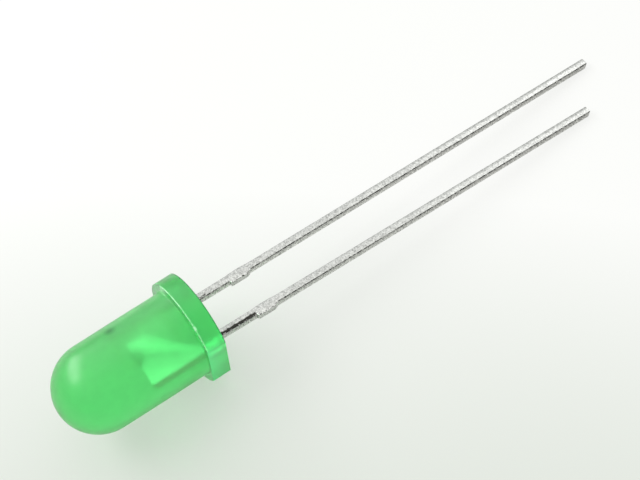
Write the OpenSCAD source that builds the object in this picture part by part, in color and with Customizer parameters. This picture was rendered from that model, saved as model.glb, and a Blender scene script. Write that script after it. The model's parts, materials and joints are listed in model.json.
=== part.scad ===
// Round 5 mm through-hole LED: a tinted epoxy body moulded round a stamped lead frame.
//
// Every piece is drawn as it stands on a circuit board, with the seating face at z = 0,
// the dome towards +z, and the cathode on the +x side. lie_down() then lays the whole
// part on a flat surface at z = 0, on the flange's rim and on both lead tips, with its
// dome towards -x and its leads towards +x.

/* [Epoxy body] */
// Diameter of the barrel just above the flange
barrel_d = 5.0; // [4.8:0.05:5.2]
// Height of the body, from the seating face to the top of the dome
body_h = 8.85; // [8.5:0.05:9.4]
// Height of the parallel part of the barrel, between the flange and the tapered part
land_h = 2.4; // [1.4:0.1:3]
// How much smaller the dome's diameter is than the barrel's, for the mould's draft
dome_shrink = 0.04; // [0.02:0.01:0.2]
// Diameter of the flange
flange_d = 6.0; // [5.7:0.05:6.1]
// Thickness of the flange
flange_t = 1.1; // [0.8:0.05:1.2]
// How far the cathode's flat on the flange stands outside the barrel's side
flat_proud = 0.1; // [0.02:0.01:0.15]
// Height of the collar of epoxy that has crept down each lead
creep_h = 0.2; // [0.1:0.02:0.3]

/* [Leads] */
// Distance between the centres of the two leads where they leave the epoxy
lead_pitch = 2.54; // [2.4:0.02:2.6]
// Width and thickness of the leads' square section
lead_w = 0.43; // [0.4:0.01:0.5]
// Length of the cathode lead below the seating face
cathode_len = 25.1; // [20:0.1:28]
// How much longer the anode lead is
anode_extra = 2.1; // [1:0.1:2.5]
// How far the cathode lead's tip leans out, away from the anode
cathode_lean = 0.65; // [0:0.05:0.8]
// How far the anode lead's tip leans in, towards the cathode
anode_lean = 0.45; // [0:0.05:0.6]
// Width of each lead where it leaves the epoxy
neck_w = 0.4; // [0.34:0.01:0.4]
// Distance from the seating face to the stub of the cut tie bar
stub_drop = 2.6; // [2.2:0.1:3]
// Length of the stub along the lead
stub_len = 1.3; // [0.8:0.1:1.6]
// How far the stub stands out of its lead, on the side towards the flange's flat
stub_proud = 0.12; // [0.05:0.01:0.2]
// How far the stub stands out on the other side, where the bar was sheared closer
stub_trim = 0.04; // [0.02:0.01:0.1]
// How much further the lead's tip reaches on its upper side, because the shear cuts at a slant
tip_slant = 0.1; // [0.05:0.01:0.25]

/* [Lead frame inside the epoxy] */
// Height of the cathode's plate, which carries the reflector cup
anvil_h = 4.15; // [3.8:0.05:4.4]
// How far the plate reaches past the body's axis, towards the anode
anvil_reach = 0.72; // [0.68:0.01:0.8]
// Height of the anode's post
post_h = 4.5; // [4.3:0.05:4.8]
// How far the anode's post steps outwards above its root
post_step = 0.12; // [0.04:0.01:0.18]
// Radius of the cup's mouth
cup_mouth_r = 0.38; // [0.34:0.01:0.42]
// Depth of the cup
cup_depth = 0.3; // [0.26:0.01:0.34]

/* [Chip and wire] */
// Width of the square chip
die_w = 0.26; // [0.2:0.01:0.3]
// Height of the chip
die_h = 0.22; // [0.16:0.01:0.26]
// Diameter of the gold wire
wire_d = 0.03; // [0.02:0.005:0.05]
// Height of the wire's loop above the anode's post
loop_h = 0.2; // [0.15:0.01:0.3]

/* [Hidden] */
$fn = 64;

// Epoxy body
barrel_r = barrel_d / 2;
flange_r = flange_d / 2;
flat_x = barrel_r + flat_proud;
dome_r = (barrel_d - dome_shrink) / 2;
dome_z = body_h - dome_r;
land_z = flange_t + land_h;
rim_round = 0.05;
foot_round = 0.08;
collar_r = neck_w / sqrt(2);
overcut = 1;
// The taper starts at the land's edge and touches the dome's circle without a kink
dome_rise = dome_z - land_z;
draft = atan2(barrel_r, dome_rise) - asin(dome_r / norm([barrel_r, dome_rise]));
tangent_r = dome_r * cos(draft);
tangent_z = dome_z + dome_r * sin(draft);

// Leads and frame
lead_x = lead_pitch / 2;
anode_len = cathode_len + anode_extra;
cathode_tip_x = lead_x + cathode_lean;
anode_tip_x = -lead_x + anode_lean;
stub_end = stub_drop + stub_len;
stub_slope = 0.25;
root_z = 0.6;
root_flare = 0.3;
knee_z = 1.5;
anvil_inner_z = 3.0;
frame_chamfer = 0.1;
post_chamfer = 0.14;
cup_floor_r = 0.23;
cup_wall = 0.08;
cup_boss_h = 0.5;
cup_boss_r = 0.24;
cup_floor_z = anvil_h - cup_depth;

// Chip and wire
glue_t = 0.02;
glue_h = 0.07;
glue_r = 0.21;
die_z = cup_floor_z + glue_t;
die_top = die_z + die_h;
wire_r = wire_d / 2;
knuckle_r = 1.03 * wire_r;
ball_r = 0.06;
ball_h = 0.05;
stitch = [0.12, 0.07, 0.02];
bend_r = 0.18;
bend_z = post_h + loop_h - bend_r;
wire_end_x = lead_x + post_step - 0.1;
// The wire's straight run touches the bend and ends on the anode's post
end_dx = wire_end_x - bend_r;
end_dz = bend_z - post_h - wire_r;
run_len = sqrt(pow(end_dx, 2) + pow(end_dz, 2) - pow(bend_r, 2));
run_slope = atan2(end_dz, end_dx) + asin(bend_r / norm([end_dx, end_dz]));

// Rest on a flat surface: the flange's rim, the cathode's tip and the anode's tip touch it.
// up_x and up_z are the upward direction's slopes in the standing frame, where up_y is 1.
side_ratio = -anode_extra / (cathode_tip_x - anode_tip_x);
tip_y = lead_w / 2;
tip_reach = cathode_len - tip_slant - side_ratio * (cathode_tip_x + lead_w / 2);
quad_a = pow(tip_reach, 2) - pow(flange_r * side_ratio, 2);
quad_b = tip_y * tip_reach;
quad_c = pow(tip_y, 2) - pow(flange_r, 2);
up_z = (sqrt(pow(quad_b, 2) - quad_a * quad_c) - quad_b) / quad_a;
up_x = side_ratio * up_z;
roll = -atan(up_x);
tilt = atan2(up_z, norm([1, up_x]));
// The part is then centred over the frame's origin
lift = flange_r * cos(tilt);
chord_half = sqrt(pow(flange_r, 2) - pow(flat_x, 2));
centre_x = ((anode_len - dome_z) * cos(tilt) - dome_r) / 2;
centre_y = (flange_r - flat_x * cos(roll) - chord_half * sin(roll)) / 2;

module lie_down() {
    translate([-centre_x, -centre_y, lift])
        rotate([0, tilt, 0])
            rotate([roll, 0, 0])
                rotate([90, 0, -90])
                    children();
}

// Half of the body's section, turned about the axis: flange, land, taper and dome
module body_section() {
    polygon([
        [0, 0], [flange_r, 0], [flange_r, flange_t], [barrel_r, flange_t],
        [barrel_r, land_z], [tangent_r, tangent_z], [0, tangent_z]
    ]);
    intersection() {
        translate([0, dome_z]) circle(dome_r);
        translate([0, tangent_z]) square([dome_r, dome_r]);
    }
    translate([barrel_r, flange_t]) inner_round(foot_round);
}

// Fills the corner at the origin, between the x and y axes, with a concave round
module inner_round(r) {
    difference() {
        square(r);
        translate([r, r]) circle(r);
    }
}

// Cuts the corner at the origin of a shape that lies towards -x and +y
module outer_round(r) {
    difference() {
        translate([-r, -overcut]) square([r + overcut, r + overcut]);
        translate([-r, r]) circle(r);
    }
}

module body_form() {
    difference() {
        rotate_extrude() difference() {
            body_section();
            translate([flange_r, 0]) outer_round(rim_round);
            translate([flange_r, flange_t]) mirror([0, 1]) outer_round(rim_round);
        }
        translate([flat_x, -flange_r, -overcut])
            cube([flange_d, flange_d, flange_t + 2 * overcut]);
    }
}

// Collar of epoxy round one lead, under the seating face
module creep_collar() {
    mirror([0, 0, 1]) rotate_extrude() {
        square([collar_r, creep_h]);
        translate([collar_r, 0]) inner_round(creep_h);
    }
}

module lens_body() {
    color([0.33, 0.82, 0.43, 0.6])
        difference() {
            union() {
                body_form();
                for (side = [-1, 1])
                    translate([side * lead_x, 0, 0]) creep_collar();
            }
            cathode_form();
            anode_form();
            led_die_form();
            die_attach_form();
            bond_wire_form();
        }
}

// Sheet of the frame's thickness, from an outline in x and z
module frame_sheet(outline) {
    rotate([90, 0, 0])
        linear_extrude(height = lead_w, center = true)
            polygon(outline);
}

// The +x side of a lead's outline, going down to the tip: the stub's end towards the epoxy
// is cut square there, and its other end slopes back to the lead
function proud_side(x, length) = [
    [x + neck_w / 2, root_z],
    [x + neck_w / 2, 0],
    [x + lead_w / 2, -stub_drop],
    [x + lead_w / 2 + stub_proud, -stub_drop],
    [x + lead_w / 2 + stub_proud, stub_slope - stub_end],
    [x + lead_w / 2, -stub_end],
    [x + lead_w / 2, -length]
];

// The -x side, where both of the stub's ends slope
function trimmed_side(x, length) = [
    [x - neck_w / 2, root_z],
    [x - neck_w / 2, 0],
    [x - lead_w / 2, -stub_drop],
    [x - lead_w / 2 - stub_trim, -stub_drop - stub_slope],
    [x - lead_w / 2 - stub_trim, stub_slope - stub_end],
    [x - lead_w / 2, -stub_end],
    [x - lead_w / 2, -length]
];

// Leans the part of an outline below the seating face over towards +x
function leaning(outline, slope) = [for (p = outline) [p.x - slope * min(p.y, 0), p.y]];

function reversed(list) = [for (i = [len(list) - 1 : -1 : 0]) list[i]];

// Takes the wedge off a lead's tip that the slanting shear leaves on its lower side
module shear_wedge(x, length) {
    translate([x, 0, -length])
        rotate([90, 0, 90])
            linear_extrude(height = 2 * lead_w, center = true)
                polygon([
                    [lead_w / 2, 0], [lead_w / 2, -overcut],
                    [-lead_w, -overcut], [-lead_w, 1.5 * tip_slant]
                ]);
}

module cathode_form() {
    flank = lead_x + lead_w / 2;
    outline = concat(
        reversed(proud_side(lead_x, cathode_len)),
        [
            [flank, root_z + root_flare],
            [flank, anvil_h - frame_chamfer],
            [flank - frame_chamfer, anvil_h],
            [frame_chamfer - anvil_reach, anvil_h],
            [-anvil_reach, anvil_h - frame_chamfer],
            [-anvil_reach, anvil_inner_z],
            [lead_x - lead_w / 2, root_z + root_flare]
        ],
        trimmed_side(lead_x, cathode_len)
    );
    difference() {
        union() {
            frame_sheet(leaning(outline, cathode_lean / cathode_len));
            translate([0, 0, anvil_h - cup_boss_h])
                cylinder(h = cup_boss_h, r1 = cup_boss_r, r2 = cup_mouth_r + cup_wall);
        }
        translate([0, 0, cup_floor_z])
            cylinder(h = 2 * cup_depth, r1 = cup_floor_r, r2 = 2 * cup_mouth_r - cup_floor_r);
        shear_wedge(cathode_tip_x, cathode_len);
    }
}

module cathode_lead() {
    color([0.78, 0.78, 0.77]) cathode_form();
}

module anode_form() {
    outer = -lead_x - lead_w / 2;
    inner = -lead_x + lead_w / 2;
    outline = concat(
        reversed(proud_side(-lead_x, anode_len)),
        [
            [inner, root_z + root_flare],
            [inner - post_step, knee_z],
            [inner - post_step, post_h],
            [outer - post_step + post_chamfer, post_h],
            [outer - post_step, post_h - post_chamfer],
            [outer - post_step, knee_z],
            [outer, root_z + root_flare]
        ],
        trimmed_side(-lead_x, anode_len)
    );
    difference() {
        frame_sheet(leaning(outline, anode_lean / anode_len));
        shear_wedge(anode_tip_x, anode_len);
    }
}

module anode_lead() {
    color([0.8, 0.8, 0.79]) anode_form();
}

module led_die_form() {
    translate([-die_w / 2, -die_w / 2, die_z]) cube([die_w, die_w, die_h]);
}

module led_die() {
    color([0.85, 0.8, 0.3]) led_die_form();
}

// Conductive glue: a low fillet on the cup's floor, with the chip set in it
module die_attach_form() {
    difference() {
        translate([0, 0, cup_floor_z]) cylinder(h = glue_h, r1 = glue_r, r2 = die_w / 2);
        led_die_form();
    }
}

module die_attach() {
    color([0.7, 0.7, 0.72]) die_attach_form();
}

// Ball on the chip, rise, bend, straight run, and the stitch on the anode's post
module bond_wire_form() {
    translate([0, 0, die_top]) cylinder(h = ball_h, r = ball_r);
    translate([0, 0, die_top]) cylinder(h = bend_z - die_top, r = wire_r);
    translate([-bend_r, 0, bend_z]) {
        rotate([90, 0, 0])
            rotate_extrude(angle = 90 + run_slope)
                translate([bend_r, 0]) circle(wire_r);
        // A hair wider than the wire, where the bend runs into the straight
        rotate([0, -run_slope, 0])
            translate([0, 0, bend_r]) sphere(knuckle_r);
    }
    translate([-wire_end_x, 0, post_h + wire_r])
        rotate([0, 90 - run_slope, 0])
            cylinder(h = run_len, r = wire_r);
    translate([-wire_end_x - stitch.x / 2, -stitch.y / 2, post_h]) cube(stitch);
}

module bond_wire() {
    color([0.95, 0.75, 0.3]) bond_wire_form();
}

lie_down() lens_body();
lie_down() cathode_lead();
lie_down() anode_lead();
lie_down() led_die();
lie_down() die_attach();
lie_down() bond_wire();
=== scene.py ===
import json
import math

import bmesh
import bpy
from mathutils import Matrix, Vector


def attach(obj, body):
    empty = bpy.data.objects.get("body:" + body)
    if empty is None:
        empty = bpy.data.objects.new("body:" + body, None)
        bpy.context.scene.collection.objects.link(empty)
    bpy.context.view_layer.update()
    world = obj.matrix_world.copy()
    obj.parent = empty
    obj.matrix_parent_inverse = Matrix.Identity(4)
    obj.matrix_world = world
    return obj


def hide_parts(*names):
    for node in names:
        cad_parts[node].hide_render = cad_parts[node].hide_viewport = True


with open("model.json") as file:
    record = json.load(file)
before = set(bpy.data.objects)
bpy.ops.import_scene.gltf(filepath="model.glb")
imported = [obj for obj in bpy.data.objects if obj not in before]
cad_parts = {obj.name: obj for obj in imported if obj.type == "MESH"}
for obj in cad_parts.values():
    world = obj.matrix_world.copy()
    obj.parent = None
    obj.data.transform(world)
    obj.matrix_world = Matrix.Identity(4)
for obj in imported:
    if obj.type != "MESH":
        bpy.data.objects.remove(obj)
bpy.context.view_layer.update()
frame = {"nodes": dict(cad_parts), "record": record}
mm = 0.001
tiny = 0.001 * mm  # points this close count as one
noiseMiddle = (0.3, 0.7)  # nearly all of a noise texture's values lie between these


def standingAxes():  # origin on the seating face, Z through the dome, X towards the cathode
    mounts = {mount["name"]: mount for mount in frame["record"]["mounts"]}
    origin = Vector(mounts["seating_face"]["pos_m"])
    dome = -Vector(mounts["seating_face"]["axis"]).normalized()
    side = origin - Vector(mounts["shoulder"]["pos_m"])
    cathodeWay = (side - dome * side.dot(dome)).normalized()
    turn = Matrix((cathodeWay, dome.cross(cathodeWay), dome)).transposed()
    return Matrix.Translation(origin) @ turn.to_4x4()


layDown = standingAxes()  # from the standing axes to the part as it lies
standUp = layDown.inverted()


def direction(azimuth, elevation):  # azimuth from X towards Y, both in degrees
    azimuth, elevation = math.radians(azimuth), math.radians(elevation)
    level = math.cos(elevation)
    return Vector((math.cos(azimuth) * level, math.sin(azimuth) * level, math.sin(elevation)))


def addObject(name, data):
    item = bpy.data.objects.new(name, data)
    bpy.context.collection.objects.link(item)
    return item


def addMesh(bm, name, materials):
    mesh = bpy.data.meshes.new(name)
    bm.to_mesh(mesh)
    bm.free()
    for material in materials:
        mesh.materials.append(material)
    return addObject(name, mesh)


def addPiece(bm, name, materials, node):
    bm.transform(layDown)
    piece = addMesh(bm, name, materials)
    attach(piece, "root")
    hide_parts(node)
    print("made", name, "with", len(piece.data.polygons), "faces")


def sharpEdges(bm, angle):
    limit = math.radians(angle)
    return [edge for edge in bm.edges if len(edge.link_faces) == 2 and edge.calc_face_angle(0) > limit]


def shadeSmooth(bm, angle):
    for face in bm.faces:
        face.smooth = True
    for edge in sharpEdges(bm, angle):
        edge.smooth = False


def bevelEdges(bm, edges, width, segments, clamp=True):
    return bmesh.ops.bevel(bm, geom=edges, offset=width * mm, offset_type="OFFSET", affect="EDGES",
                           segments=segments, profile=0.5, material=-1, clamp_overlap=clamp)


def newMaterial(name):
    material = bpy.data.materials.new(name)
    material.use_nodes = True
    return material, material.node_tree, material.node_tree.nodes["Principled BSDF"]


def feed(tree, socket, value):  # value is a node's output, a colour or a number
    if isinstance(value, bpy.types.NodeSocket):
        tree.links.new(value, socket)
    elif socket.type == "RGBA":
        socket.default_value = (*value, 1)
    else:
        socket.default_value = value


def textureSpace(tree, place, turn, size):  # object coordinates, measured from a placed frame
    coords = tree.nodes.new("ShaderNodeTexCoord")
    mapping = tree.nodes.new("ShaderNodeMapping")
    mapping.vector_type = "TEXTURE"
    tree.links.new(coords.outputs["Object"], mapping.inputs["Vector"])
    for name, value in (("Location", place), ("Rotation", turn), ("Scale", size)):
        mapping.inputs[name].default_value = value
    return mapping.outputs["Vector"]


def standingPoint(tree):  # in millimetres along the standing axes
    return textureSpace(tree, layDown.to_translation(), layDown.to_euler(), (mm, mm, mm))


def splitPoint(tree, point):
    split = tree.nodes.new("ShaderNodeSeparateXYZ")
    tree.links.new(point, split.inputs["Vector"])
    return split.outputs


def noiseAt(tree, point, scale, detail, roughness=0.5):
    texture = tree.nodes.new("ShaderNodeTexNoise")
    tree.links.new(point, texture.inputs["Vector"])
    for name, value in (("Scale", scale), ("Detail", detail), ("Roughness", roughness)):
        texture.inputs[name].default_value = value
    return texture.outputs["Fac"]


def spread(tree, source, ends, results=(0, 1)):  # ends become results, with an even ramp between
    ramp = tree.nodes.new("ShaderNodeMapRange")
    tree.links.new(source, ramp.inputs["Value"])
    for name, value in zip(("From Min", "From Max", "To Min", "To Max"), (*ends, *results)):
        ramp.inputs[name].default_value = value
    return ramp.outputs["Result"]


def measure(tree, operation, point, other):
    node = tree.nodes.new("ShaderNodeVectorMath")
    node.operation = operation
    tree.links.new(point, node.inputs[0])
    node.inputs[1].default_value = other
    return node.outputs["Value"]


def combine(tree, operation, first, second):
    node = tree.nodes.new("ShaderNodeMath")
    node.operation = operation
    feed(tree, node.inputs[0], first)
    feed(tree, node.inputs[1], second)
    return node.outputs["Value"]


def product(tree, first, second):
    return combine(tree, "MULTIPLY", first, second)


def hypotenuse(tree, first, second):
    squares = combine(tree, "ADD", product(tree, first, first), product(tree, second, second))
    return combine(tree, "POWER", squares, 0.5)


def between(tree, source, low, high, fade):  # 1 from low to high, fading to 0 outside them
    return product(tree, spread(tree, source, (low - fade, low)), spread(tree, source, (high + fade, high)))


def mix(tree, share, first, last, kind="RGBA", blend="MIX"):
    node = tree.nodes.new("ShaderNodeMix")
    node.data_type = kind
    node.blend_type = blend
    for name, value in (("Factor", share), ("A", first), ("B", last)):
        feed(tree, node.inputs[name], value)
    return node.outputs["Result"]


def bumpFrom(tree, height, depth):
    bump = tree.nodes.new("ShaderNodeBump")
    bump.inputs["Distance"].default_value = depth * mm
    tree.links.new(height, bump.inputs["Height"])
    return bump.outputs["Normal"]


# Camera. In every dictionary lengths are in millimetres and angles in degrees, but clip is in metres
camera = {
    "azimuth": 69.22, "elevation": -55.35, "roll": -18.44,
    "distance": 92.93, "aim": (-1.1, 0.279, 2.0), "lens": 96.13, "clip": (0.001, 10),
}


def makeCamera():
    data = bpy.data.cameras.new("camera")
    data.lens = camera["lens"]
    data.clip_start, data.clip_end = camera["clip"]
    look = direction(camera["azimuth"], camera["elevation"])
    where = (Vector(camera["aim"]) - look * camera["distance"]) * mm
    turn = look.to_track_quat("-Z", "Y").to_matrix().to_4x4()
    roll = Matrix.Rotation(math.radians(camera["roll"]), 4, "Z")
    item = addObject("camera", data)
    item.matrix_world = Matrix.Translation(where) @ turn @ roll
    bpy.context.scene.camera = item


# Studio: a floor whose glow holds a painted shadow, darker and greener in an oval under and beside the
# body, a softbox, and a sky with one brighter and one darker side
studio = {
    "floorWidth": 3000, "floorColour": (0.73, 0.74, 0.72), "floorGloss": 0.9,
    "paintedShadowAt": (-17.1, -11.3), "paintedShadowTurn": 45.6, "paintedShadowReach": (24, 61), "paintedShadowFade": (0.05, 1),
    "paintedShadowGlow": (0.567, 0.643, 0.541), "glowFar": (0.995, 1.0, 0.98),
    "seenEnds": (-6, 6), "seenGlow": (0.6, 0.8), "bentGlow": 0.5,
    "boxAzimuth": 122, "boxElevation": 41, "boxDistance": 150, "boxAlong": (-0.59, -0.64, 0.5),
    "boxSize": (175, 62), "boxGlow": 4.7,
    "zenith": 1.05, "horizon": 0.45, "skyColour": (1, 1, 1),
    "brightSide": (0.6, 0.45, 0.66), "brightFade": (0.7, 1), "brightGlow": 0.6,
    "darkSide": (0.35, -0.87, 0.35), "darkFade": (0.45, 0.8), "darkGlow": 0.8,
}


def paleFloor():
    material, tree, shader = newMaterial("paleFloor")
    feed(tree, shader.inputs["Base Color"], studio["floorColour"])
    shader.inputs["Roughness"].default_value = studio["floorGloss"]
    shader.inputs["Specular IOR Level"].default_value = 0
    # Painted shadow: the floor's glow turns darker and greener in a turned oval under and beside the body
    dimX, dimY = [part * mm for part in studio["paintedShadowAt"]]
    reachX, reachY = [part * mm for part in studio["paintedShadowReach"]]
    turn = math.radians(studio["paintedShadowTurn"])
    dimPoint = textureSpace(tree, (dimX, dimY, 0), (0, 0, turn), (reachX, reachY, 1))
    depth = spread(tree, measure(tree, "DISTANCE", dimPoint, (0, 0, 0)), studio["paintedShadowFade"])
    glow = tree.nodes.new("ShaderNodeEmission")
    feed(tree, glow.inputs["Color"], mix(tree, depth, studio["paintedShadowGlow"], studio["glowFar"]))
    # Camera, glossy and transmission rays see part of this glow. The rest is lit, and keeps the shadow
    coords = tree.nodes.new("ShaderNodeTexCoord")
    x = splitPoint(tree, coords.outputs["Object"])["X"]
    along = spread(tree, x, [end * mm for end in studio["seenEnds"]], studio["seenGlow"])
    path = tree.nodes.new("ShaderNodeLightPath").outputs
    seen = product(tree, path["Is Camera Ray"], along)
    bent = combine(tree, "MAXIMUM", path["Is Glossy Ray"], path["Is Transmission Ray"])
    surface = tree.nodes.new("ShaderNodeMixShader")
    feed(tree, surface.inputs["Fac"], combine(tree, "ADD", seen, product(tree, bent, studio["bentGlow"])))
    feed(tree, surface.inputs[1], shader.outputs["BSDF"])
    feed(tree, surface.inputs[2], glow.outputs["Emission"])
    feed(tree, tree.nodes["Material Output"].inputs["Surface"], surface.outputs["Shader"])
    return material


def makeFloor():
    bm = bmesh.new()
    bmesh.ops.create_grid(bm, x_segments=1, y_segments=1, size=studio["floorWidth"] * mm / 2)
    floor = addMesh(bm, "floor", [paleFloor()])


def makeSoftbox():
    data = bpy.data.lights.new("softbox", "AREA")
    data.shape = "RECTANGLE"
    data.size, data.size_y = [side * mm for side in studio["boxSize"]]
    data.energy = studio["boxGlow"] * math.pi * data.size * data.size_y
    towards = direction(studio["boxAzimuth"], studio["boxElevation"])
    along = Vector(studio["boxAlong"])
    along = (along - towards * along.dot(towards)).normalized()
    turn = Matrix((along, towards.cross(along), towards)).transposed().to_4x4()
    addObject("softbox", data).matrix_world = Matrix.Translation(towards * studio["boxDistance"] * mm) @ turn


def makeSky():
    world = bpy.data.worlds.new("studio")
    world.use_nodes = True
    bpy.context.scene.world = world
    tree = world.node_tree
    toSky = tree.nodes.new("ShaderNodeTexCoord").outputs["Generated"]

    def facing(side, fade, results):
        aim = Vector(studio[side]).normalized()
        return spread(tree, measure(tree, "DOT_PRODUCT", toSky, aim), studio[fade], results)

    sky = spread(tree, splitPoint(tree, toSky)["Z"], (0, 1), (studio["horizon"], studio["zenith"]))
    sky = combine(tree, "ADD", sky, facing("brightSide", "brightFade", (0, studio["brightGlow"])))
    glow = mix(tree, facing("darkSide", "darkFade", (0, 1)), sky, studio["darkGlow"], kind="FLOAT")
    background = tree.nodes["Background"].inputs
    feed(tree, background["Color"], studio["skyColour"])
    feed(tree, background["Strength"], glow)


makeCamera()
makeFloor()
makeSoftbox()
makeSky()
print("camera, floor and lights are set")

# Epoxy body: a domed barrel on a flange, with a flat beside the cathode. Places are along the standing
# axes. Cloud, grain and noise are a texture's scale, detail and roughness. Ends and bands are where a
# mask begins and where it is full.
epoxy = {
    "barrelR": 2.5, "domeR": 2.48, "height": 8.85, "landTop": 3.5,
    "flangeR": 3.0, "flangeH": 1.1, "flatX": 2.6, "baseR": 2.3, "around": 160, "domeSteps": 28,
    "rimRound": 0.05, "rimSteps": 4, "rimAngle": 60, "footRound": 0.08, "footSteps": 5, "smoothAngle": 28,
    "leadX": 1.27, "collarR": 0.283, "creep": 0.2, "collarSteps": 6, "collarAround": 32,
    "tint": (0.35, 0.955, 0.375), "cloud": (2.2, 3), "cloudBand": (0.35, 0.65), "cloudShade": 0.94,
    "gloss": (0.29, 0.33), "index": 1.5, "clear": 0.9, "dyeColour": (0.17, 0.93, 0.6), "dye": 0.35,
    "grain": (6, 4, 0.65), "flangeTint": (0.27, 1.0, 0.37), "flangeTopShade": (0.22, 0.82, 0.28),
    "flangeTopShadeEnds": (-1.5, 0), "flangeFade": 0.05,
    "ring": 0.045, "ringFade": 0.03, "ringRagged": 0.03, "ringHighlight": (0.52, 0.97, 0.58),
    "ringFarShade": (0.02, 0.1, 0.05), "ringFarShadeEnds": (-1.7, -1.85), "ringBand": (0.4, 0.56),
    "ringShare": (0.2, 0.9), "ringClear": 0.1,
    "seatShade": (0.05, 0.28, 0.15), "seatShadeShare": 0.85,
    "shoulderEnds": (2.56, 2.62), "shoulderDepth": (0.03, 0.01),
    "mottle": (0.5, 0.75, 0.55), "mottleBand": (0.42, 0.58), "mottleShare": (0, 0.8),
    "flatPaintedLight": (0.17, 1.0, 0.36), "flatEnds": (2.5, 2.58), "flatLightShare": (0.35, 1), "flatClear": 0.5,
    "nick": {"at": (1.56, 2.53, 1.16), "reach": 0.22, "core": 0.12, "share": 0.95},
    "frost": {"at": (-1.6, 2.3, 1.12), "reach": 0.6, "core": 0.3, "share": 1},
    "frostNoise": (9, 3), "frostBand": (0.42, 0.54), "frostShare": (0, 0.7),
    "frostFoot": 1.07, "frostTop": 1.13, "frostFade": 0.05,
    "paintedPostShade": {"at": (-1.22, 2.18, 4.56), "reach": 0.52, "core": 0.1, "share": 0.8},
    "paintedEdgeShade": {"at": (-0.9, 2.3, 5.3), "reach": 2.2, "core": 0.4, "share": 0.24},
    "paintedShadeColour": (0.06, 0.24, 0.1),
}


def greenEpoxy():
    material, tree, shader = newMaterial("greenEpoxy")
    point = standingPoint(tree)
    split = splitPoint(tree, point)
    x, y, z = split["X"], split["Y"], split["Z"]
    radius = hypotenuse(tree, x, y)
    grain = noiseAt(tree, point, *epoxy["grain"])
    cloud = noiseAt(tree, point, *epoxy["cloud"])

    def nearRing(height):  # close to the flange's edge at this height, with a ragged border
        across = combine(tree, "SUBTRACT", radius, epoxy["flangeR"])
        down = combine(tree, "SUBTRACT", z, height)
        wander = spread(tree, grain, noiseMiddle, (-epoxy["ringRagged"], epoxy["ringRagged"]))
        away = combine(tree, "ADD", hypotenuse(tree, across, down), wander)
        return spread(tree, away, (epoxy["ring"] + epoxy["ringFade"], epoxy["ring"]))

    def nearSpot(spot):
        away = measure(tree, "DISTANCE", point, spot["at"])
        return spread(tree, away, (spot["reach"], spot["core"]), (0, spot["share"]))

    def bodyTint():  # slightly uneven, and deeper on the flange
        uneven = spread(tree, cloud, epoxy["cloudBand"])
        tint = mix(tree, uneven, epoxy["tint"], [epoxy["cloudShade"] * part for part in epoxy["tint"]])
        # Painted shade: the flange is darker towards -X
        flange = mix(tree, spread(tree, x, epoxy["flangeTopShadeEnds"]), epoxy["flangeTopShade"], epoxy["flangeTint"])
        onFlange = spread(tree, z, (epoxy["flangeH"], epoxy["flangeH"] - epoxy["flangeFade"]))
        return mix(tree, onFlange, tint, flange)

    def mottledShoulder():
        heights = [epoxy["flangeH"] - depth for depth in epoxy["shoulderDepth"]]
        shoulder = product(tree, spread(tree, radius, epoxy["shoulderEnds"]), spread(tree, z, heights))
        return product(tree, shoulder, spread(tree, grain, epoxy["mottleBand"], epoxy["mottleShare"]))

    def wornAndHighlitRim():  # a patchy pale line along the rim, partly wear and partly painted highlight, with frost at its far end and one nick
        patchy = spread(tree, grain, epoxy["ringBand"], epoxy["ringShare"])
        line = product(tree, nearRing(epoxy["flangeH"]), patchy)
        frostNoise = noiseAt(tree, point, *epoxy["frostNoise"])
        speckle = spread(tree, frostNoise, epoxy["frostBand"], epoxy["frostShare"])
        onRim = between(tree, z, epoxy["frostFoot"], epoxy["frostTop"], epoxy["frostFade"])
        frost = product(tree, product(tree, nearSpot(epoxy["frost"]), speckle), onRim)
        return combine(tree, "MAXIMUM", combine(tree, "MAXIMUM", line, frost), nearSpot(epoxy["nick"]))

    rim = wornAndHighlitRim()
    # Painted highlight: the rim's pale line, turning to a painted dark line of shade towards -X
    rimHighlightAndShade = mix(tree, spread(tree, x, epoxy["ringFarShadeEnds"]), epoxy["ringHighlight"], epoxy["ringFarShade"])
    # Painted light: the flat gets a lighter, more opaque green, fullest towards the flange's top
    onFlat = product(tree, spread(tree, x, epoxy["flatEnds"]),
                     spread(tree, z, (0, epoxy["flangeH"]), epoxy["flatLightShare"]))
    # Painted shade: a dark spot over the anode post's tip and a broad darkening around it on the barrel
    paintedPostShade = combine(tree, "MAXIMUM", nearSpot(epoxy["paintedPostShade"]), nearSpot(epoxy["paintedEdgeShade"]))
    tint = bodyTint()
    for share, colour in (
        # Painted shade: a dark line along the seating face's rim
        (product(tree, nearRing(0), epoxy["seatShadeShare"]), epoxy["seatShade"]),
        (mottledShoulder(), epoxy["mottle"]), (rim, rimHighlightAndShade),
        (onFlat, epoxy["flatPaintedLight"]), (paintedPostShade, epoxy["paintedShadeColour"]),
    ):
        tint = mix(tree, share, tint, colour)
    feed(tree, shader.inputs["Base Color"], tint)
    feed(tree, shader.inputs["Roughness"], spread(tree, cloud, noiseMiddle, epoxy["gloss"]))
    shader.inputs["IOR"].default_value = epoxy["index"]
    clear = product(tree, spread(tree, rim, (0, 1), (epoxy["clear"], epoxy["ringClear"])),
                    spread(tree, onFlat, (0, 1), (1, epoxy["flatClear"])))
    feed(tree, shader.inputs["Transmission Weight"], clear)
    dye = tree.nodes.new("ShaderNodeVolumeAbsorption")
    feed(tree, dye.inputs["Color"], epoxy["dyeColour"])
    dye.inputs["Density"].default_value = epoxy["dye"] / mm
    feed(tree, tree.nodes["Material Output"].inputs["Volume"], dye.outputs["Volume"])
    return material


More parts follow.
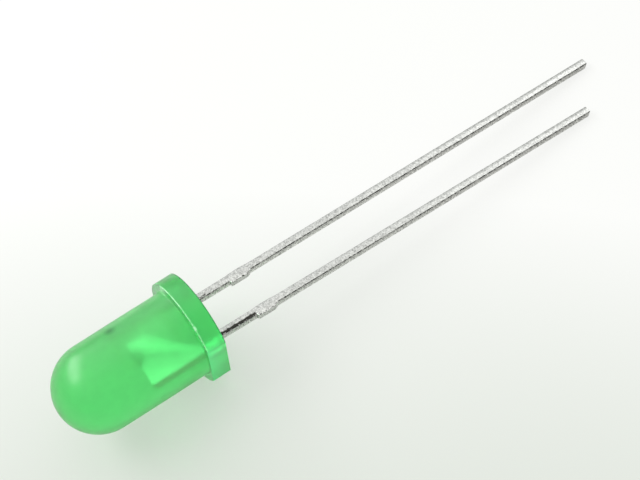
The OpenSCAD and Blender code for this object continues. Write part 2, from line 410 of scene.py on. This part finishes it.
def bodyProfile():
    domeZ = epoxy["height"] - epoxy["domeR"]
    rise = domeZ - epoxy["landTop"]
    # The taper starts at the top of the land and touches the dome's circle without a kink
    reach = math.hypot(epoxy["barrelR"], rise)
    draft = math.atan2(epoxy["barrelR"], rise) - math.asin(epoxy["domeR"] / reach)
    points = [
        (epoxy["baseR"], 0), (epoxy["flangeR"], 0), (epoxy["flangeR"], epoxy["flangeH"]),
        (epoxy["barrelR"], epoxy["flangeH"]), (epoxy["barrelR"], epoxy["landTop"]),
    ]
    for step in range(epoxy["domeSteps"]):
        angle = draft + (math.pi / 2 - draft) * step / epoxy["domeSteps"]
        points.append((epoxy["domeR"] * math.cos(angle), domeZ + epoxy["domeR"] * math.sin(angle)))
    points.append((0, epoxy["height"]))
    return points


def collarProfile():  # epoxy that crept down a lead, closed below
    reach = epoxy["collarR"] + epoxy["creep"]
    points = []
    for step in range(epoxy["collarSteps"] + 1):
        angle = math.pi / 2 * step / epoxy["collarSteps"]
        points.append((reach - epoxy["creep"] * math.sin(angle), -epoxy["creep"] * (1 - math.cos(angle))))
    points.append((0, -epoxy["creep"]))
    return points


def spinProfile(bm, points, centreX, steps):
    verts = [bm.verts.new(((centreX + x) * mm, 0, z * mm)) for x, z in points]
    edges = [bm.edges.new(pair) for pair in zip(verts, verts[1:])]
    bmesh.ops.spin(bm, geom=verts + edges, axis=(0, 0, 1), cent=(centreX * mm, 0, 0), angle=2 * math.pi,
                   steps=steps, use_merge=True, use_duplicate=False)
    bmesh.ops.remove_doubles(bm, verts=bm.verts[:], dist=tiny)


def cutFlat(bm):
    cut = bmesh.ops.bisect_plane(bm, geom=bm.verts[:] + bm.edges[:] + bm.faces[:], dist=tiny,
                                 plane_co=(epoxy["flatX"] * mm, 0, 0), plane_no=(1, 0, 0), clear_outer=True)
    border = [item for item in cut["geom_cut"] if isinstance(item, bmesh.types.BMEdge)]
    bmesh.ops.contextual_create(bm, geom=border)


def onRing(edge, radius, height):
    return all(abs(vert.co.z - height * mm) < tiny and abs(vert.co.xy.length - radius * mm) < tiny
               for vert in edge.verts)


def makeBody():
    bm = bmesh.new()
    spinProfile(bm, bodyProfile(), 0, epoxy["around"])
    cutFlat(bm)
    foot = [edge for edge in bm.edges if onRing(edge, epoxy["barrelR"], epoxy["flangeH"])]
    bevelEdges(bm, foot, epoxy["footRound"], epoxy["footSteps"])
    inner = epoxy["flatX"] * mm - tiny
    rims = [edge for edge in sharpEdges(bm, epoxy["rimAngle"]) if edge.verts[0].co.xy.length > inner]
    bevelEdges(bm, rims, epoxy["rimRound"], epoxy["rimSteps"])
    for side in (-1, 1):
        spinProfile(bm, collarProfile(), side * epoxy["leadX"], epoxy["collarAround"])
    # Fills the seating face between its outer ring and the two collars
    bmesh.ops.triangle_fill(bm, edges=[edge for edge in bm.edges if edge.is_boundary], use_beauty=True)
    bmesh.ops.recalc_face_normals(bm, faces=bm.faces[:])
    shadeSmooth(bm, epoxy["smoothAngle"])
    addPiece(bm, "epoxyBody", [greenEpoxy()], "lens_body")


makeBody()

# Leads: tin outside the epoxy, silver inside it, and bare metal where the frame was sheared. Z is
# negative below the seating face. The tin's colours hold painted light and change towards the tips.
lead = {
    "halfWidth": 0.215, "edge": 0.04, "edgeSteps": 3, "sharpAngle": 30, "flatAngle": 1,
    "shortest": 0.1, "faceOn": 0.5, "edgeOn": 0.1,
    "stubTop": -2.6, "stubEnd": -3.9, "stubProud": 0.03, "stubFade": 0.05, "insideEnds": (-0.1, 0.1),
    "tinUpper": (0.48, 0.49, 0.47), "tinLower": (0.58, 0.59, 0.56), "tinGloss": (0.28, 0.46),
    "tipUpper": (0.44, 0.45, 0.43), "tipLower": (0.8, 0.81, 0.78),
    "tipEnds": (-9, -24), "tipBand": (-0.6, 0.1),
    "grain": (12, 5, 0.6), "grainBand": (0.32, 0.62), "grainDepth": 0.012, "tinShade": (0.5, 1.2),
    "silver": (0.97, 0.97, 0.95), "silverGloss": 0.48,
    "sideUpper": (0.4, 0.41, 0.385), "sideLower": (0.72, 0.73, 0.69),
    "sideShade": (0.2, 1.5), "sideGloss": 0.36,
    "tipSide": (0.32, 0.32, 0.3), "tipFoot": (0.72, 0.72, 0.69), "sideTipEnds": (-7, -17),
    "flank": (1.0, 0.93, 0.85), "flankDull": (0.9, 0.8, 0.7), "flankMetal": 0.1, "flankGloss": 0.75,
    "torn": (0.66, 0.67, 0.64), "tornDarkAndPitShade": (0.22, 0.22, 0.2), "tornNoise": (12, 4, 0.7),
    "tornBand": (0.38, 0.5), "tornDepth": 0.02, "tornGloss": 0.42,
    "corner": (0.42, 0.42, 0.4), "cornerShade": (0.02, 0.02, 0.02), "wearAndShade": (7, 3, 0.7),
    "wearAndShadeBand": (0.46, 0.58), "glossBand": (0.4, 0.7), "cornerGloss": (0.2, 0.4),
    "glint": (0.97, 0.97, 0.95), "glintNoise": (11, 2), "glintBand": (0.47, 0.53),
    "paintedStreakColour": (0.035, 0.035, 0.03), "streakFade": 0.04, "streakOffset": 0.02, "streakEndFade": 0.1,
    "wander": (8, 3), "wanderReach": 0.04,
}
# Lean is how far a lead shifts towards X for each millimetre down. A painted dark reflection lies as a
# streak along each neck: streak is where, measured in from the lead's corner, and streakEnd is how far down
# it reaches
cathode = {
    "node": "cathode_lead", "name": "cathodeLead", "tin": "cathodeTin", "axisX": 1.27, "lean": 0.0259,
    "silver": (0.97, 0.97, 0.95), "streak": (-0.98, 0.19), "streakEnd": -2.53,
}
anode = {
    "node": "anode_lead", "name": "anodeLead", "tin": "anodeTin", "axisX": -1.27, "lean": 0.0165,
    # Painted shade: the anode's silver inside the epoxy is darker than the cathode's, so its post reads
    # darker
    "silver": (0.75, 0.75, 0.73), "streak": (0.11, 0.13), "streakEnd": -1.05,
}


def insideEpoxy(tree, z):
    return spread(tree, z, lead["insideEnds"])


def leadGrain(tree, point, shader):  # the plating's grain, which also roughens the surface
    grain = noiseAt(tree, point, *lead["grain"])
    feed(tree, shader.inputs["Normal"], bumpFrom(tree, grain, lead["grainDepth"]))
    return grain


def grained(tree, colour, grain, shades):
    return mix(tree, 1, colour, spread(tree, grain, lead["grainBand"], shades), blend="MULTIPLY")


def tinnedLead(own):
    material, tree, shader = newMaterial(own["tin"])
    point = standingPoint(tree)
    split = splitPoint(tree, point)
    x, z = split["X"], split["Z"]
    half = lead["halfWidth"]
    straightX = combine(tree, "ADD", x, product(tree, z, own["lean"]))
    across = combine(tree, "SUBTRACT", straightX, own["axisX"])
    grain = leadGrain(tree, point, shader)

    def platingAndPaintedLight():
        # Painted light and shade: the tin is lighter towards +X across each face, and near the tips a
        # painted highlight lies along the +X edge
        shank = mix(tree, spread(tree, across, (-half, half)), lead["tinUpper"], lead["tinLower"])
        tipEdges = [part * half for part in lead["tipBand"]]
        tip = mix(tree, spread(tree, across, tipEdges), lead["tipUpper"], lead["tipLower"])
        tin = mix(tree, spread(tree, z, lead["tipEnds"]), shank, tip)
        return grained(tree, tin, grain, lead["tinShade"])

    # Painted shade: a near-black streak standing for the dark reflection along each neck's rounded edge
    def paintedDarkStreak():
        wave = (-lead["wanderReach"], lead["wanderReach"])
        wander = spread(tree, noiseAt(tree, point, *lead["wander"]), noiseMiddle, wave)
        wavy = combine(tree, "ADD", across, wander)
        fromCorner = combine(tree, "SUBTRACT", half + lead["streakOffset"], wavy)
        band = between(tree, fromCorner, *own["streak"], lead["streakFade"])
        above = spread(tree, z, (own["streakEnd"] - lead["streakEndFade"], own["streakEnd"]))
        return product(tree, band, above)

    inside = insideEpoxy(tree, z)
    tin = mix(tree, paintedDarkStreak(), platingAndPaintedLight(), lead["paintedStreakColour"])
    feed(tree, shader.inputs["Base Color"], mix(tree, inside, tin, own["silver"]))
    shader.inputs["Metallic"].default_value = 1
    tinGloss = spread(tree, grain, noiseMiddle, lead["tinGloss"])
    feed(tree, shader.inputs["Roughness"], mix(tree, inside, tinGloss, lead["silverGloss"], kind="FLOAT"))
    return material


def cornerWearAndPaintedShade():
    material, tree, shader = newMaterial("cornerWearAndPaintedShade")
    point = standingPoint(tree)
    z = splitPoint(tree, point)["Z"]
    wearAndShade = noiseAt(tree, point, *lead["wearAndShade"])
    # Painted shade: a near-black line along the corner, broken by noise, with painted glints on the stubs
    cornerShadeAndGlints = mix(tree, spread(tree, wearAndShade, lead["wearAndShadeBand"]), lead["cornerShade"], lead["corner"])
    onStub = between(tree, z, lead["stubEnd"], lead["stubTop"], lead["stubFade"])
    glints = spread(tree, noiseAt(tree, point, *lead["glintNoise"]), lead["glintBand"])
    cornerShadeAndGlints = mix(tree, product(tree, onStub, glints), cornerShadeAndGlints, lead["glint"])
    feed(tree, shader.inputs["Base Color"], mix(tree, insideEpoxy(tree, z), cornerShadeAndGlints, lead["silver"]))
    shader.inputs["Metallic"].default_value = 1
    feed(tree, shader.inputs["Roughness"], spread(tree, wearAndShade, lead["glossBand"], lead["cornerGloss"]))
    return material


def leadSide():
    material, tree, shader = newMaterial("leadSide")
    point = standingPoint(tree)
    split = splitPoint(tree, point)
    upward = spread(tree, split["Y"], (-lead["halfWidth"], lead["halfWidth"]))
    # Painted light and shade: each side face is lighter towards -Y, most at the tips' foot
    shank = mix(tree, upward, lead["sideLower"], lead["sideUpper"])
    tip = mix(tree, upward, lead["tipFoot"], lead["tipSide"])
    side = mix(tree, spread(tree, split["Z"], lead["sideTipEnds"]), shank, tip)
    grain = leadGrain(tree, point, shader)
    feed(tree, shader.inputs["Base Color"], grained(tree, side, grain, lead["sideShade"]))
    shader.inputs["Metallic"].default_value = 1
    shader.inputs["Roughness"].default_value = lead["sideGloss"]
    return material


def shearedMetal():
    material, tree, shader = newMaterial("shearedMetal")
    point = standingPoint(tree)
    inside = insideEpoxy(tree, splitPoint(tree, point)["Z"])
    torn = noiseAt(tree, point, *lead["tornNoise"])
    share = spread(tree, torn, lead["tornBand"])
    # Dark patches by noise: bare torn metal, with painted shade in its pits
    outer = mix(tree, share, lead["tornDarkAndPitShade"], lead["torn"])
    # Painted light: inside the epoxy the sheared faces are near white and barely metallic, so they read
    # lighter
    inner = mix(tree, share, lead["flankDull"], lead["flank"])
    feed(tree, shader.inputs["Base Color"], mix(tree, inside, outer, inner))
    feed(tree, shader.inputs["Metallic"], spread(tree, inside, (0, 1), (1, lead["flankMetal"])))
    gloss = spread(tree, inside, (0, 1), (lead["tornGloss"], lead["flankGloss"]))
    feed(tree, shader.inputs["Roughness"], gloss)
    feed(tree, shader.inputs["Normal"], bumpFrom(tree, torn, lead["tornDepth"]))
    return material


def fromAxis(own, centre):  # how far a point on a lead stands from its leaning axis, towards +X
    return centre.x - (own["axisX"] - own["lean"] * centre.z)


def faceKind(face, own):  # 0 is tinned, 2 sheared and 3 the rolled side; 1 is kept for the corners
    slope = abs(face.normal.y)
    centre = face.calc_center_median() / mm
    if slope > lead["faceOn"]:
        return 0
    if centre.z > lead["insideEnds"][1]:
        return 2 if slope < lead["edgeOn"] else 0
    onStub = lead["stubEnd"] < centre.z < lead["stubTop"]
    return 2 if onStub and abs(fromAxis(own, centre)) > lead["halfWidth"] + lead["stubProud"] else 3


def makeLead(own, cutMetals):
    bm = bmesh.new()
    bm.from_mesh(frame["nodes"][own["node"]].data)
    bm.transform(standUp)
    bmesh.ops.remove_doubles(bm, verts=bm.verts[:], dist=tiny)
    flat = math.radians(lead["flatAngle"])
    bmesh.ops.dissolve_limit(bm, angle_limit=flat, verts=bm.verts[:], edges=bm.edges[:])
    bm.normal_update()
    for face in bm.faces:
        face.material_index = faceKind(face, own)
    shortest = lead["shortest"] * mm
    rims = [edge for edge in sharpEdges(bm, lead["sharpAngle"]) if edge.calc_length() > shortest]
    for face in bevelEdges(bm, rims, lead["edge"], lead["edgeSteps"], clamp=False)["faces"]:
        centre = face.calc_center_median() / mm
        face.material_index = 1 if centre.y > 0 and fromAxis(own, centre) > 0 else 0
    bmesh.ops.dissolve_degenerate(bm, dist=tiny / 2, edges=bm.edges[:])
    shadeSmooth(bm, lead["sharpAngle"])
    addPiece(bm, own["name"], [tinnedLead(own), *cutMetals], own["node"])


cutMetals = [cornerWearAndPaintedShade(), shearedMetal(), leadSide()]
makeLead(cathode, cutMetals)
makeLead(anode, cutMetals)

# The chip, its silver paste and the gold wire keep their CAD shapes
die = {
    "node": "led_die", "name": "die", "first": (0.62, 0.6, 0.34), "last": (0.45, 0.42, 0.2),
    "grain": (9, 3), "band": (0.35, 0.65), "depth": 0.004, "metallic": 0.0, "gloss": (0.35, 0.5),
}
paste = {
    "node": "die_attach", "name": "paste", "first": (0.62, 0.62, 0.6), "last": (0.38, 0.38, 0.37),
    "grain": (40, 3), "band": (0.35, 0.65), "depth": 0.004, "metallic": 0.7, "gloss": (0.5, 0.65),
}
wire = {
    "node": "bond_wire", "name": "wire", "first": (1.0, 0.74, 0.32), "last": (0.85, 0.55, 0.2),
    "grain": (60, 3), "band": (0.35, 0.65), "depth": 0.004, "metallic": 1.0, "gloss": (0.25, 0.4),
}


def dress(look):
    material, tree, shader = newMaterial(look["name"])
    grain = noiseAt(tree, standingPoint(tree), *look["grain"])
    colour = mix(tree, spread(tree, grain, look["band"]), look["first"], look["last"])
    feed(tree, shader.inputs["Base Color"], colour)
    shader.inputs["Metallic"].default_value = look["metallic"]
    feed(tree, shader.inputs["Roughness"], spread(tree, grain, noiseMiddle, look["gloss"]))
    feed(tree, shader.inputs["Normal"], bumpFrom(tree, grain, look["depth"]))
    for slot in frame["nodes"][look["node"]].material_slots:
        slot.material = material
    print("dressed", look["node"])


for look in (die, paste, wire):
    dress(look)

bpy.context.scene.view_settings.view_transform = "Standard"
